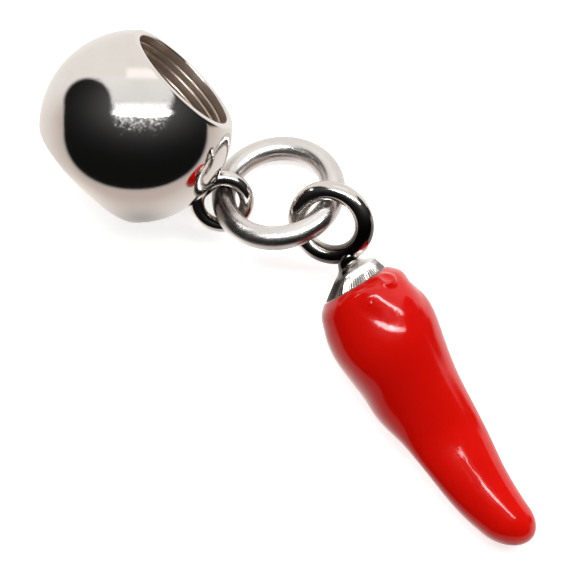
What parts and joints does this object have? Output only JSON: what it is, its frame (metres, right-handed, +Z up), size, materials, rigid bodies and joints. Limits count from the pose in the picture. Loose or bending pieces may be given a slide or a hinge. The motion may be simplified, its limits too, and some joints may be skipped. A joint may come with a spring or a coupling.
{
  "type": "chili pepper bead charm",
  "caption": "Silver ball bead with a large bore and a soldered eye, linked by a jump ring to a red enamelled chili pepper pendant, lying flat.",
  "frame": {"origin": "on the table, under the middle of the charm's footprint", "axes": "+X along the charm from the bead to the pepper's tip, +Y along the bead's bore, +Z up from the table"},
  "size_m": [0.0268, 0.0072, 0.0077],
  "materials": {
    "polished_silver": "mirror-polished silver with fine wear",
    "ring_wire": "polished silver wire",
    "cast_silver": "polished cast silver, grooved at the cap",
    "red_enamel": "thick glossy red enamel"
  },
  "bodies": {
    "root": {"charm_bead": "polished_silver", "jump_ring": "ring_wire", "stem_cap": "cast_silver", "chili_body": "red_enamel"}
  },
  "joints": []
}
